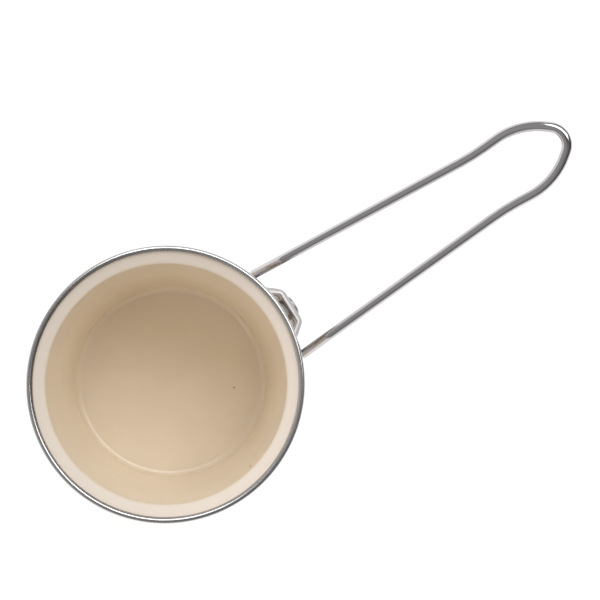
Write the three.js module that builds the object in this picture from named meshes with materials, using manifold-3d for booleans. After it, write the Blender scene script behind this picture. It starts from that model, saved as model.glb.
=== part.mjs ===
// Turkish coffee pot: an enamelled steel pot with a rolled steel rim band and a bent wire handle.
// Every piece is bent sheet, bent wire or a fastener. The handle's wire is welded into a hat-shaped
// plate, which nests over a bracket on the wall and is held by one screw and nut.
// Millimetres, +Z up. The origin is the middle of the base, and the handle points along +X.
import * as THREE from "three";
import { mergeVertices } from "three/addons/utils/BufferGeometryUtils.js";
import Module from "manifold-3d";

const wasm = await Module();
wasm.setup();

const radians = THREE.MathUtils.degToRad;

// Pot body: sizes of its sheet are at the middle of the sheet
const POT_HEIGHT = 80; // base to the top of the rim band
const BODY_SHEET = 1; // steel with both coats of enamel
const NECK_RADIUS = 43.3; // where the wall turns out into the lip
const LIP_FLARE = 4.65; // how far the lip runs out from the neck to its edge
const LIP_ANGLE = radians(50); // lip from the vertical
const WALL_TAPER = radians(3.1); // wall from the vertical, narrowing towards the base
const NECK_BEND = 1.2; // radius on the hollow side of the bend
const FLOOR_BEND = 2.5; // radius inside the pot, between wall and floor

// Rim band
const BAND_SHEET = 0.4;
const BAND_GAP = 0.15; // between the band and each face of the lip
const BAND_FLANGE = 0.8; // how far the band reaches down the lip from its edge

// Wall bracket: a hat-shaped strip, with its feet on the wall
const BRACKET_SHEET = 0.8;
const BRACKET_HEIGHT = 18;
const BRACKET_DROP = 2.4; // from the neck down to the bracket's top edge
const BRACKET_DEPTH = 8.8; // from the wall to the outer face of the bracket's flat
const BRACKET_FLAT = 12.3; // width of the flat, between the corners of its outer face
const BRACKET_FOOT = 4.5; // length of each foot along the wall
const BRACKET_BEND = 1.5; // radius on the hollow side of each bend
const SIDE_SPLAY = radians(39); // the hat's sides, from straight out of the wall
const WELD_GAP = 0.3; // between the feet and the wall

// Handle plate: a second hat that nests over the bracket
const PLATE_SHEET = 0.8;
const PLATE_HEIGHT = 17;
const PLATE_CORNER = 4; // rounding of the plate's corners beside the wall
const PLATE_TOE_GAP = 0.6; // between the ends of the plate's sides and the bracket's feet
const NEST_GAP = 0.2; // between plate and bracket

// Handle wire: sizes are at the middle of the wire, and half widths are from the middle of the handle
const WIRE_DIAMETER = 3.4;
const TAIL_END = 8; // half the space between the two ends of the wire
const TAIL_GAP = 0.8; // between the wire's ends and the wall
const TAIL_HALF_WIDTH = 17.4; // where the legs turn in towards the bracket
const TAIL_BEND = 3.5;
const KINK_REACH = 9.3; // from the rim's edge out to the kink in the legs
const KINK_RISE = -2.1; // kink above the top of the rim, or below it where negative
const KINK_HALF_WIDTH = 16;
const KINK_BEND = 8;
const GRIP_RISE = radians(34.5); // the grip, from the horizontal
const WAIST_LENGTH = 80.9; // from the kink along the grip to the waist's corner
const WAIST_HALF_WIDTH = 10.2;
const WAIST_BEND = 82;
const SHOULDER_LENGTH = 99.6; // from the kink along the grip to the corner of the loop's shoulder
const SHOULDER_HALF_WIDTH = 11.15;
const SHOULDER_BEND = 24;
const TIP_LENGTH = 113.4; // from the kink along the grip to the point where the shoulders' lines meet
const TIP_BEND = 5.8;
const NOTCH_GAP = 0.3; // round the wire where it passes through plate and bracket
const SLOT_TRAVEL = 4.1; // how far the wire slides into the bracket's side slots as the plate goes on

// Fasteners
const SCREW_DIAMETER = 4;
const SCREW_HOLE_GAP = 0.25; // round the screw in plate, bracket and washer
const SCREW_TIP = 0.8; // how far the screw stands out of the nut
const THREAD_GAP = 0.1; // round the screw in the nut
const HEAD_DIAMETER = 7.3;
const HEAD_THICKNESS = 0.9;
const HEAD_ROUNDING = 0.6; // at the head's outer edge
const DRIVE_WIDTH = 0.9; // each arm of the cross recess
const DRIVE_LENGTH = 3.8;
const DRIVE_DEPTH = 0.7;
const WASHER_DIAMETER = 7.4;
const WASHER_THICKNESS = 0.5;
const NUT_ACROSS_FLATS = 7;
const NUT_THICKNESS = 3.2;
const SEAT_GAP = 0.1; // between faces that the screw draws together

// Smoothness of the faceted solids
const ROUND_STEPS = 72; // round the pot
const SMALL_ROUND_STEPS = 24; // round a fastener or a hole
const WIRE_SIDES = 12;
const BEND_STEP = radians(11); // largest turn between two points of a bend
const BAND_STEP = radians(30); // the same in the rim band's small roll
const ARC_SEGMENTS = 3; // of a quarter turn, each drawn as two chords
const LEG_SHARE = 0.998; // most of a straight leg that the bends at its two ends may take up
const MERGE_DISTANCE = 1e-4;
const CUT_MARGIN = 5; // how far a cutter runs past what it cuts

// Values that follow from the sizes above
const bandRadius = BODY_SHEET / 2 + BAND_GAP + BAND_SHEET;
const lipRadius = NECK_RADIUS + LIP_FLARE;
const lipHeight = POT_HEIGHT - bandRadius;
const neckHeight = lipHeight - LIP_FLARE / Math.tan(LIP_ANGLE);
const rimRadius = lipRadius + bandRadius;
const wallMiddle = (height) => NECK_RADIUS - (neckHeight - height) * Math.tan(WALL_TAPER);
const bracketHeight = neckHeight - BRACKET_DROP - BRACKET_HEIGHT / 2;
const wallOutside = wallMiddle(bracketHeight) + BODY_SHEET / 2 / Math.cos(WALL_TAPER);
const wallCurve = wallOutside / Math.cos(WALL_TAPER); // radius of the wall across its slope
const wireRadius = WIRE_DIAMETER / 2;
const screwRadius = SCREW_DIAMETER / 2;

const enamel = new THREE.MeshStandardMaterial({ color: 0xe5d6c0, roughness: 0.22, metalness: 0 });
const steel = new THREE.MeshStandardMaterial({ color: 0xc9c8c5, roughness: 0.25, metalness: 1 });

// Rounds the corners of a route as a bending tool does, and lists the points and directions along it.
// Where two bends need more than the straight leg between them, both are made tighter.
function bentRoute(corners, bendStep = BEND_STEP) {
  const ahead = corners.slice(1).map((corner, i) => corner.at.clone().sub(corners[i].at));
  const legs = ahead.map((leg) => leg.length());
  ahead.forEach((leg) => leg.normalize());
  const isEnd = (i) => i === 0 || i === corners.length - 1;
  const turns = corners.map((_, i) => (isEnd(i) ? 0 : ahead[i - 1].angleTo(ahead[i])));
  const wanted = corners.map(({ bend }, i) => (isEnd(i) ? 0 : bend * Math.tan(turns[i] / 2)));
  const room = legs.map((leg, i) => Math.min(1, (LEG_SHARE * leg) / (wanted[i] + wanted[i + 1])));
  return corners.flatMap(({ at }, i) => {
    if (isEnd(i)) return [{ at, along: ahead[Math.min(i, ahead.length - 1)] }];
    const reach = wanted[i] * Math.min(room[i - 1], room[i]);
    const bend = reach / Math.tan(turns[i] / 2);
    const before = ahead[i - 1];
    const inward = ahead[i].clone().addScaledVector(before, -Math.cos(turns[i])).normalize();
    const start = at.clone().addScaledVector(before, -reach);
    const steps = Math.ceil(turns[i] / bendStep);
    return Array.from({ length: steps + 1 }, (_, k) => {
      const swept = (turns[i] * k) / steps;
      return {
        at: start
          .clone()
          .addScaledVector(before, bend * Math.sin(swept))
          .addScaledVector(inward, bend * (1 - Math.cos(swept))),
        along: before
          .clone()
          .multiplyScalar(Math.cos(swept))
          .addScaledVector(inward, Math.sin(swept)),
      };
    });
  });
}

// Section of a bent sheet: corners are [x, y, bend] on its middle line, with bend on the hollow side.
function bentStrip(corners, sheet, bendStep) {
  const route = bentRoute(
    corners.map(([x, y, bend = 0]) => ({ at: new THREE.Vector3(x, y, 0), bend: bend + sheet / 2 })),
    bendStep,
  );
  const face = (side) =>
    route.map(({ at, along }) => {
      const across = new THREE.Vector2(along.y, -along.x);
      return new THREE.Vector2(at.x, at.y).addScaledVector(across, (side * sheet) / 2);
    });
  return [...face(1), ...face(-1).reverse()];
}

// A bent wire's route, whose stations lie close together in its bends and far apart between them.
class WireRoute extends THREE.Curve {
  constructor(corners) {
    super();
    this.stations = bentRoute(corners);
    this.steps = this.stations.length - 1;
  }

  getPointAt(share) {
    return this.stations[Math.round(share * this.steps)].at.clone();
  }

  getTangentAt(share) {
    return this.stations[Math.round(share * this.steps)].along.clone();
  }
}

// A profile of [radius, height] points turned round the Z axis.
function turned(profile, steps) {
  return new THREE.LatheGeometry(profile, steps).rotateX(Math.PI / 2);
}

// The same, round the X axis, for what points straight out of the wall.
function turnedOutward(profile, steps) {
  return new THREE.LatheGeometry(profile, steps).rotateZ(-Math.PI / 2);
}

function solid(geometry) {
  const bare = geometry.clone();
  bare.deleteAttribute("normal");
  bare.deleteAttribute("uv");
  const merged = mergeVertices(bare, MERGE_DISTANCE);
  return new wasm.Manifold(
    new wasm.Mesh({
      numProp: 3,
      vertProperties: new Float32Array(merged.attributes.position.array),
      triVerts: new Uint32Array(merged.index.array),
    }),
  );
}

function geometryOf(shape) {
  const { vertProperties, triVerts } = shape.getMesh();
  const geometry = new THREE.BufferGeometry();
  geometry.setAttribute("position", new THREE.BufferAttribute(vertProperties, 3));
  geometry.setIndex(new THREE.BufferAttribute(triVerts, 1));
  geometry.computeVertexNormals();
  return geometry;
}

function cut(geometry, ...cutters) {
  return geometryOf(cutters.reduce((left, cutter) => left.subtract(solid(cutter)), solid(geometry)));
}

function mesh(name, geometry, material) {
  const piece = new THREE.Mesh(geometry, material);
  piece.name = name;
  return piece;
}

// Drawn sheet from the middle of the floor, up the wall and out along the lip
function potBody() {
  const floorMiddle = BODY_SHEET / 2;
  const section = bentStrip(
    [
      [0, floorMiddle],
      [wallMiddle(floorMiddle), floorMiddle, FLOOR_BEND],
      [NECK_RADIUS, neckHeight, NECK_BEND],
      [lipRadius, lipHeight],
    ],
    BODY_SHEET,
  );
  return mesh("pot_body", turned(section, ROUND_STEPS), enamel);
}

// Strip rolled over the lip's edge, open towards the lip
function rimBand() {
  const lip = new THREE.Vector2(Math.sin(LIP_ANGLE), Math.cos(LIP_ANGLE));
  const across = new THREE.Vector2(lip.y, -lip.x);
  const edge = new THREE.Vector2(lipRadius, lipHeight);
  const roll = bandRadius - BAND_SHEET / 2;
  const corner = (along, side) =>
    edge.clone().addScaledVector(lip, along).addScaledVector(across, side * roll).toArray();
  const innerBend = bandRadius - BAND_SHEET;
  const section = bentStrip(
    [
      corner(-BAND_FLANGE, 1),
      [...corner(roll, 1), innerBend],
      [...corner(roll, -1), innerBend],
      corner(-BAND_FLANGE, -1),
    ],
    BAND_SHEET,
    BAND_STEP,
  );
  return mesh("rim_band", turned([...section, section[0]], ROUND_STEPS), steel);
}

// Middle line of a hat, lying a given distance outside the bracket's outer face:
// the corner of its flat, and the point where its side meets a circle about the pot's middle.
function hatLine(outside, circle) {
  const flat = wallCurve + BRACKET_DEPTH + outside;
  const half = BRACKET_FLAT / 2 + outside * Math.tan((Math.PI / 2 - SIDE_SPLAY) / 2);
  const nearest = flat * Math.cos(SIDE_SPLAY) - half * Math.sin(SIDE_SPLAY);
  const slant = nearest - Math.sqrt(nearest ** 2 - (flat ** 2 + half ** 2 - circle ** 2));
  return {
    corner: [flat, half],
    toe: [flat - slant * Math.cos(SIDE_SPLAY), half + slant * Math.sin(SIDE_SPLAY)],
  };
}

const mirrored = ([x, y, bend]) => [x, -y, bend];

// A hat's plan, drawn up the wall to its height and centred on the screw
function hat(halfLine, sheet, height) {
  const plan = bentStrip([...halfLine, ...halfLine.map(mirrored).reverse()], sheet);
  const settings = { depth: height, bevelEnabled: false };
  return new THREE.ExtrudeGeometry(new THREE.Shape(plan), settings).translate(0, 0, -height / 2);
}

// A round-ended slot cut across the handle, from one distance out of the pot's middle to another
function crossSlot(from, to, radius) {
  const width = 2 * (TAIL_HALF_WIDTH + CUT_MARGIN);
  const outline = new THREE.Shape();
  outline.absarc(from, 0, radius, Math.PI / 2, (3 * Math.PI) / 2);
  outline.absarc(to, 0, radius, -Math.PI / 2, Math.PI / 2);
  const settings = { depth: width, bevelEnabled: false, curveSegments: 2 * ARC_SEGMENTS };
  return new THREE.ExtrudeGeometry(outline, settings)
    .rotateX(Math.PI / 2)
    .translate(0, width / 2, 0);
}

// Straight out of the wall, through the flats of both hats
function screwHole() {
  const radius = screwRadius + SCREW_HOLE_GAP;
  const length = 2 * (NEST_GAP + PLATE_SHEET + CUT_MARGIN);
  return new THREE.CylinderGeometry(radius, radius, length, SMALL_ROUND_STEPS)
    .rotateZ(-Math.PI / 2)
    .translate(wallCurve + BRACKET_DEPTH, 0, 0);
}

const tailOut = wallCurve + TAIL_GAP + wireRadius; // wire's ends, from the pot's middle
const notchRadius = wireRadius + NOTCH_GAP;

// Hat with its feet bent out along the wall, and a slot in each side for the wire
function potBracket() {
  const footMiddle = wallCurve + WELD_GAP + BRACKET_SHEET / 2;
  const { corner, toe } = hatLine(-BRACKET_SHEET / 2, footMiddle);
  const toeAngle = Math.atan2(toe[1], toe[0]);
  const footTurn = toeAngle + BRACKET_FOOT / footMiddle / 2;
  const footEnd = [
    toe[0] - BRACKET_FOOT * Math.sin(footTurn),
    toe[1] + BRACKET_FOOT * Math.cos(footTurn),
  ];
  const halfLine = [footEnd, [...toe, BRACKET_BEND], [...corner, BRACKET_BEND]];
  const sideSlot = crossSlot(tailOut, tailOut + SLOT_TRAVEL, notchRadius);
  const shape = cut(hat(halfLine, BRACKET_SHEET, BRACKET_HEIGHT), sideSlot, screwHole());
  return mesh("pot_bracket", shape, steel);
}

// Hat whose sides stop short of the wall, with rounded corners and a notch round each end of the wire
function handlePlate() {
  const toeCircle = wallCurve + WELD_GAP + BRACKET_SHEET + PLATE_TOE_GAP + PLATE_SHEET / 2;
  const { corner, toe } = hatLine(NEST_GAP + PLATE_SHEET / 2, toeCircle);
  const halfLine = [toe, [...corner, BRACKET_BEND + BRACKET_SHEET + NEST_GAP]];
  const side = PLATE_HEIGHT / 2;
  const back = toe[0] - PLATE_SHEET / 2;
  const front = corner[0] + CUT_MARGIN;
  const outline = new THREE.Shape();
  outline.moveTo(front, -side);
  outline.lineTo(front, side);
  outline.absarc(back + PLATE_CORNER, side - PLATE_CORNER, PLATE_CORNER, Math.PI / 2, Math.PI);
  outline.absarc(back + PLATE_CORNER, PLATE_CORNER - side, PLATE_CORNER, Math.PI, 1.5 * Math.PI);
  const width = 2 * toe[1] + 2 * CUT_MARGIN;
  const silhouette = new THREE.ExtrudeGeometry(outline, {
    depth: width,
    bevelEnabled: false,
    curveSegments: ARC_SEGMENTS,
  })
    .rotateX(Math.PI / 2)
    .translate(0, width / 2, 0);
  const rounded = solid(hat(halfLine, PLATE_SHEET, PLATE_HEIGHT)).intersect(solid(silhouette));
  const notch = crossSlot(back - CUT_MARGIN, tailOut, notchRadius);
  return mesh("handle_plate", cut(geometryOf(rounded), notch, screwHole()), steel);
}

const plateFace = wallCurve + BRACKET_DEPTH + NEST_GAP + PLATE_SHEET;
const washerSeat = plateFace + SEAT_GAP;
const headSeat = washerSeat + WASHER_THICKNESS + SEAT_GAP;
const nutSeat = wallCurve + BRACKET_DEPTH - BRACKET_SHEET - SEAT_GAP;
const nutBack = nutSeat - NUT_THICKNESS;

// Low round head with a cross recess, on a plain shank
function handleScrew() {
  const headRadius = HEAD_DIAMETER / 2;
  const headTop = headSeat + HEAD_THICKNESS;
  const tip = nutBack - SCREW_TIP;
  const profile = new THREE.Path();
  profile.moveTo(0, tip);
  profile.lineTo(screwRadius, tip);
  profile.lineTo(screwRadius, headSeat);
  profile.lineTo(headRadius, headSeat);
  const edgeMiddle = headTop - HEAD_ROUNDING;
  profile.absarc(headRadius - HEAD_ROUNDING, edgeMiddle, HEAD_ROUNDING, 0, Math.PI / 2);
  profile.lineTo(0, headTop);
  const blank = turnedOutward(profile.getPoints(ARC_SEGMENTS), SMALL_ROUND_STEPS);
  const depth = DRIVE_DEPTH + CUT_MARGIN;
  const arm = (width, height) =>
    new THREE.BoxGeometry(depth, width, height).translate(headTop - DRIVE_DEPTH + depth / 2, 0, 0);
  const arms = [arm(DRIVE_WIDTH, DRIVE_LENGTH), arm(DRIVE_LENGTH, DRIVE_WIDTH)];
  return mesh("handle_screw", cut(blank, ...arms), steel);
}

function lockWasher() {
  const hole = screwRadius + SCREW_HOLE_GAP;
  const outer = WASHER_DIAMETER / 2;
  const section = [
    [hole, washerSeat],
    [outer, washerSeat],
    [outer, washerSeat + WASHER_THICKNESS],
    [hole, washerSeat + WASHER_THICKNESS],
    [hole, washerSeat],
  ].map(([radius, out]) => new THREE.Vector2(radius, out));
  return mesh("lock_washer", turnedOutward(section, SMALL_ROUND_STEPS), steel);
}

function handleNut() {
  const acrossCorners = NUT_ACROSS_FLATS / Math.cos(Math.PI / 6);
  const block = new THREE.CylinderGeometry(acrossCorners / 2, acrossCorners / 2, NUT_THICKNESS, 6);
  const bore = screwRadius + THREAD_GAP;
  const drill = new THREE.CylinderGeometry(bore, bore, NUT_THICKNESS + CUT_MARGIN, SMALL_ROUND_STEPS);
  const nut = cut(block, drill).rotateZ(-Math.PI / 2);
  return mesh("handle_nut", nut.translate(nutBack + NUT_THICKNESS / 2, 0, 0), steel);
}

// What sits square to the sloping wall hangs in one group: its X axis points straight out of the wall
function wallGroup() {
  const group = new THREE.Group();
  group.rotation.y = WALL_TAPER;
  const outOfWall = new THREE.Vector3(Math.cos(WALL_TAPER), 0, -Math.sin(WALL_TAPER));
  group.position.set(wallOutside, 0, bracketHeight).addScaledVector(outOfWall, -wallCurve);
  group.add(potBracket(), handlePlate(), lockWasher(), handleScrew(), handleNut());
  group.updateMatrixWorld(true);
  return group;
}

// One wire from end to end: in at the plate, up to the kink, along the grip and round its loop, and back
function handleWire(wall) {
  const atWall = (half) => wall.localToWorld(new THREE.Vector3(tailOut, half, 0));
  const kinkOut = rimRadius + KINK_REACH;
  const onGrip = (length, half) =>
    new THREE.Vector3(
      kinkOut + length * Math.cos(GRIP_RISE),
      half,
      POT_HEIGHT + KINK_RISE + length * Math.sin(GRIP_RISE),
    );
  const leg = (side) => [
    { at: atWall(side * TAIL_END), bend: 0 },
    { at: atWall(side * TAIL_HALF_WIDTH), bend: TAIL_BEND },
    { at: onGrip(0, side * KINK_HALF_WIDTH), bend: KINK_BEND },
    { at: onGrip(WAIST_LENGTH, side * WAIST_HALF_WIDTH), bend: WAIST_BEND },
    { at: onGrip(SHOULDER_LENGTH, side * SHOULDER_HALF_WIDTH), bend: SHOULDER_BEND },
  ];
  const tip = { at: onGrip(TIP_LENGTH, 0), bend: TIP_BEND };
  const route = new WireRoute([...leg(1), tip, ...leg(-1).reverse()]);
  const section = new THREE.Shape().absarc(0, 0, wireRadius, 0, 2 * Math.PI);
  const settings = { extrudePath: route, steps: route.steps, curveSegments: WIRE_SIDES / 2 };
  return mesh("handle_wire", new THREE.ExtrudeGeometry(section, settings), steel);
}

const coffeePot = new THREE.Group();
const handleSeat = wallGroup();
coffeePot.add(potBody(), rimBand(), handleSeat, handleWire(handleSeat));

export default coffeePot;
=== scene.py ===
"""Turkish coffee pot: the looks of its enamel and steel, built round its construction.

The file is laid out as an add-on: sizes and colours are properties, and each piece has an operator.
Metres, +Z up. The pot stands on its base at the origin, and the handle points along +X.
"""

import math

import bmesh
import bpy
from bpy.props import FloatProperty, FloatVectorProperty, PointerProperty
from bpy.types import Operator, Panel, PropertyGroup
from mathutils import Matrix, Vector


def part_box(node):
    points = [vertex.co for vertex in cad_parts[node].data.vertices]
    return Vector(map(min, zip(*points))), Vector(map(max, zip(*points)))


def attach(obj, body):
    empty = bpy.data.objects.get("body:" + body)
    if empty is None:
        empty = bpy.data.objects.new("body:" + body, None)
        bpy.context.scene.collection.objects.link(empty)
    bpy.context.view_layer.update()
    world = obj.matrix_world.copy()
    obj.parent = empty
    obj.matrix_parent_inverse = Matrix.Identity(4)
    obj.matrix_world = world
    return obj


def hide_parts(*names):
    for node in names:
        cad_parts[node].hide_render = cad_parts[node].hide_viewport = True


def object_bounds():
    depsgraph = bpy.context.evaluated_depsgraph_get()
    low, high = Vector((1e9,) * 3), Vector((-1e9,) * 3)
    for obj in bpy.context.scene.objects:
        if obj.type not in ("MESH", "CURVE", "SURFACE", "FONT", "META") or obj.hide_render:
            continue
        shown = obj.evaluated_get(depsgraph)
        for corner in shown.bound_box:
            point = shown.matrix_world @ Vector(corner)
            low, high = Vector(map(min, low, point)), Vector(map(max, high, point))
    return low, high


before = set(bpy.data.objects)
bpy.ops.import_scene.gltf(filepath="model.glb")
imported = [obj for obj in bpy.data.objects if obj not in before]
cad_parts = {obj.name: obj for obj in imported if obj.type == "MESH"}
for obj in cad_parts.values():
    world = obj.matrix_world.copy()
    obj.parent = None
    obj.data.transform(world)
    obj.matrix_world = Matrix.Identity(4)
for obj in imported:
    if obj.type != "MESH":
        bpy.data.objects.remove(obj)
cad_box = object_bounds()

bl_info = {
    "name": "Turkish coffee pot",
    "version": (1, 0, 0),
    "blender": (4, 5, 0),
    "location": "3D View > Sidebar > Coffee Pot",
    "description": "Builds an enamelled coffee pot with a bent wire handle round its construction",
    "category": "Add Mesh",
}

MM = 0.001
BODY = "root"

# Smoothness of the meshes
ROUND_STEPS = 240  # round the pot
SMALL_ROUND_STEPS = 48  # round a fastener or a hole
WIRE_SIDES = 32
BEAD_SIDES = 12  # round the section of a weld bead
BEAD_STEPS = 36  # along a weld bead
THREAD_STEPS = 24  # in one turn of the thread
BEND_STEP = math.radians(5)  # largest turn between two rings of a bend
SHARP_ANGLE = math.radians(35)  # edges that turn more than this stay sharp
SOFTEN_ANGLE = math.radians(50)  # edges that turn more than this are sheared or sawn edges
MERGE_DISTANCE = 0.005 * MM  # vertices closer than this are one
SHORT_EDGE = 0.1 * MM  # corners on sheared edges closer than this are merged before the edges are rounded

CUT_MARGIN = 5 * MM  # how far a cutter runs past what it cuts
DRIVE_TAPER = (1, 0.7, 0.5)  # an arm of the screw's recess at its foot, as shares of its top
# Faces that point towards the wall get the painted shade: a darker copy of the bracket's steel.
HOLLOW_FACING = -0.3  # faces of the bracket that point this far towards the wall line its hollow

UP = Vector((0, 0, 1))
ACROSS = Vector((0, 1, 0))
OUT = Vector((1, 0, 0))


def length(name, default, description):
    return FloatProperty(name=name, description=description, default=default, unit="LENGTH", precision=5)


def angle(name, degrees, description):
    return FloatProperty(
        name=name,
        description=description,
        default=math.radians(degrees),
        subtype="ANGLE",
        unit="ROTATION",
    )


def colour(name, default, description):
    return FloatVectorProperty(
        name=name, description=description, default=default, size=3, min=0, max=1, subtype="COLOR"
    )


def place(name, default, description):
    return FloatVectorProperty(
        name=name, description=description, default=default, size=3, subtype="TRANSLATION", unit="LENGTH"
    )


class PotSizes(PropertyGroup):
    """Sizes of the pot's sheet and of its rim band"""

    height: length("Height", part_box("rim_band")[1].z, "Base to the top of the rim band")
    rim_radius: length("Rim radius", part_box("rim_band")[1].x, "Outside of the rim band")
    sheet: length("Sheet", 1 * MM, "Steel with both coats of enamel")
    neck_radius: length("Neck radius", 43.3 * MM, "Middle of the sheet where the wall turns out into the lip")
    lip_angle: angle("Lip angle", 50, "Lip from the vertical")
    wall_taper: angle("Wall taper", 3.1, "Wall from the vertical, narrowing towards the base")
    neck_bend: length("Neck bend", 1.2 * MM, "Radius on the hollow side of the bend under the lip")
    floor_bend: length("Floor bend", 2.5 * MM, "Radius inside the pot, between wall and floor")
    band_sheet: length("Band sheet", 0.4 * MM, "Thickness of the rim band")
    band_gap: length("Band gap", 0.15 * MM, "Between the band and each face of the lip")
    band_flange: length("Band flange", 0.8 * MM, "How far the band reaches down the lip from its edge")


class SeatSizes(PropertyGroup):
    """Sizes of the bracket on the wall and of the plate that nests over it"""

    bracket_sheet: length("Bracket sheet", 0.8 * MM, "Thickness of the bracket")
    bracket_height: length("Bracket height", 18 * MM, "Along the wall")
    bracket_drop: length("Bracket drop", 2.4 * MM, "From the neck down to the bracket's top edge")
    bracket_depth: length("Bracket depth", 8.8 * MM, "From the wall to the bracket's outer face")
    bracket_flat: length("Bracket flat", 12.3 * MM, "Width between the corners of the bracket's flat")
    bracket_foot: length("Bracket foot", 4.5 * MM, "Length of each foot along the wall")
    bracket_bend: length("Bracket bend", 1.5 * MM, "Radius on the hollow side of each bend")
    side_splay: angle("Side splay", 39, "The hat's sides, from straight out of the wall")
    weld_sink: length("Weld sink", 0.05 * MM, "How deep the feet lie in the wall's enamel")
    plate_sheet: length("Plate sheet", 0.98 * MM, "Thickness of the handle plate, tight to the bracket")
    plate_height: length("Plate height", 17 * MM, "Along the wall")
    plate_corner: length("Plate corner", 4 * MM, "Rounding of the plate's corners beside the wall")
    plate_toe_gap: length("Plate toe gap", 0.42 * MM, "Between the plate's sides and the bracket's feet")
    nest_gap: length("Nest gap", 0.02 * MM, "Between the plate and the bracket")
    edge_rounding: length("Edge rounding", 0.15 * MM, "At both sheets' sheared edges, as far as it fits")


class HandleSizes(PropertyGroup):
    """Sizes of the handle wire, at the middle of the wire"""

    wire_diameter: length("Wire diameter", 3.4 * MM, "Drawn wire")
    tail_end: length("Tail end", 8 * MM, "Half the space between the two ends of the wire")
    tail_gap: length("Tail gap", 0.8 * MM, "Between the wire's ends and the wall")
    tail_half_width: length("Tail half width", 17.4 * MM, "Where the legs turn in towards the bracket")
    tail_bend: length("Tail bend", 3.5 * MM, "Radius of that turn")
    kink_reach: length("Kink reach", 9.3 * MM, "From the rim's edge out to the kink in the legs")
    kink_rise: length("Kink rise", -2.1 * MM, "Kink above the top of the rim, or below it where negative")
    kink_half_width: length("Kink half width", 16 * MM, "Legs at the kink")
    kink_bend: length("Kink bend", 8 * MM, "Radius at the kink")
    grip_rise: angle("Grip rise", 34.5, "The grip, from the horizontal")
    waist_length: length("Waist length", 80.9 * MM, "From the kink to the waist's corner")
    waist_half_width: length("Waist half width", 10.2 * MM, "Legs at the waist")
    waist_bend: length("Waist bend", 82 * MM, "Radius at the waist")
    shoulder_length: length("Shoulder length", 99.6 * MM, "From the kink to the loop's shoulder")
    shoulder_half_width: length("Shoulder half width", 11.15 * MM, "Legs at the shoulder")
    shoulder_bend: length("Shoulder bend", 24 * MM, "Radius at the shoulder")
    tip_length: length("Tip length", 113.4 * MM, "From the kink to where the shoulders' lines meet")
    tip_bend: length("Tip bend", 5.8 * MM, "Radius at the tip of the loop")
    end_rounding: length("End rounding", 0.4 * MM, "At the sawn ends of the wire")
    notch_gap: length("Notch gap", 0.3 * MM, "Round the wire where it passes through plate and bracket")
    slot_travel: length("Slot travel", 4.1 * MM, "How far the wire slides into the bracket's side slots")
    weld_radius: length("Weld radius", 0.75 * MM, "Bead that joins the wire to the plate")


class FastenerSizes(PropertyGroup):
    """Sizes of the screw, its washer and its nut"""

    screw_diameter: length("Screw diameter", 4 * MM, "Shank over its thread")
    thread_pitch: length("Thread pitch", 0.7 * MM, "From one turn of the thread to the next")
    thread_depth: length("Thread depth", 0.43 * MM, "From the thread's crest to its root")
    hole_gap: length("Hole gap", 0.25 * MM, "Round the screw in plate and bracket")
    screw_tip: length("Screw tip", 0.8 * MM, "How far the screw stands out of the nut")
    head_diameter: length("Head diameter", 7.3 * MM, "Low round head")
    head_thickness: length("Head thickness", 0.9 * MM, "From its seat to its flat top")
    head_rounding: length("Head rounding", 0.6 * MM, "At the head's outer edge")
    drive_width: length("Drive width", 0.9 * MM, "Each arm of the cross recess")
    drive_length: length("Drive length", 3.8 * MM, "Across two arms of the recess")
    drive_depth: length("Drive depth", 0.7 * MM, "Recess at its middle")
    washer_diameter: length("Washer diameter", 7.4 * MM, "Outside of the spring washer")
    washer_thickness: length("Washer thickness", 0.5 * MM, "Spring washer")
    washer_split: angle("Washer split", 9, "Gap between the washer's two ends")
    nut_flats: length("Nut flats", 7 * MM, "Across the nut's flats")
    nut_thickness: length("Nut thickness", 3.2 * MM, "Along the screw")
    thread_gap: length("Thread gap", 0.1 * MM, "Round the screw in the nut")
    seat_gap: length("Seat gap", 0.1 * MM, "Between faces that the screw draws together")
    edge_rounding: length("Edge rounding", 0.08 * MM, "At turned edges")


class FinishColours(PropertyGroup):
    """Colours of the finishes"""

    enamel: colour("Enamel", (0.84, 0.724, 0.572), "Fired cream enamel")
    # Painted highlight tone: the lip's enamel is painted paler and duller where the lip catches the most
    # light.
    lip_painted_highlight_tone: colour("Lip enamel", (0.74, 0.648, 0.557), "Paler enamel, where it is thin on the lip")
    speck: colour("Speck", (0.10, 0.07, 0.05), "Pinholes in the enamel")
    zinc: colour("Zinc", (0.68, 0.67, 0.665), "Dull zinc coat of the nut")
    rim_steel: colour("Rim steel", (0.63, 0.605, 0.59), "Rolled stainless strip")
    wire_steel: colour("Wire steel", (0.60, 0.577, 0.582), "Drawn stainless wire")
    plate_steel: colour("Plate steel", (0.48, 0.45, 0.44), "Tumbled stainless pressing")
    # Lit and shaded copies of the plate's steel: the bracket's outside is painted lighter, a painted
    # highlight along its top edge, and its hollow side darker than that, painted shade.
    bracket_painted_highlight_steel: colour("Bracket steel", (0.744, 0.6975, 0.682), "Brighter pressing, outside the bracket")
    hollow_painted_shade_steel: colour("Hollow steel", (0.576, 0.54, 0.528), "Dull pressing, inside the bracket")
    fastener_steel: colour("Fastener steel", (0.48, 0.465, 0.455), "Plain stainless fasteners")
    weld_steel: colour("Weld steel", (0.34, 0.31, 0.28), "Weld beads, tinted by heat")


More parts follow.
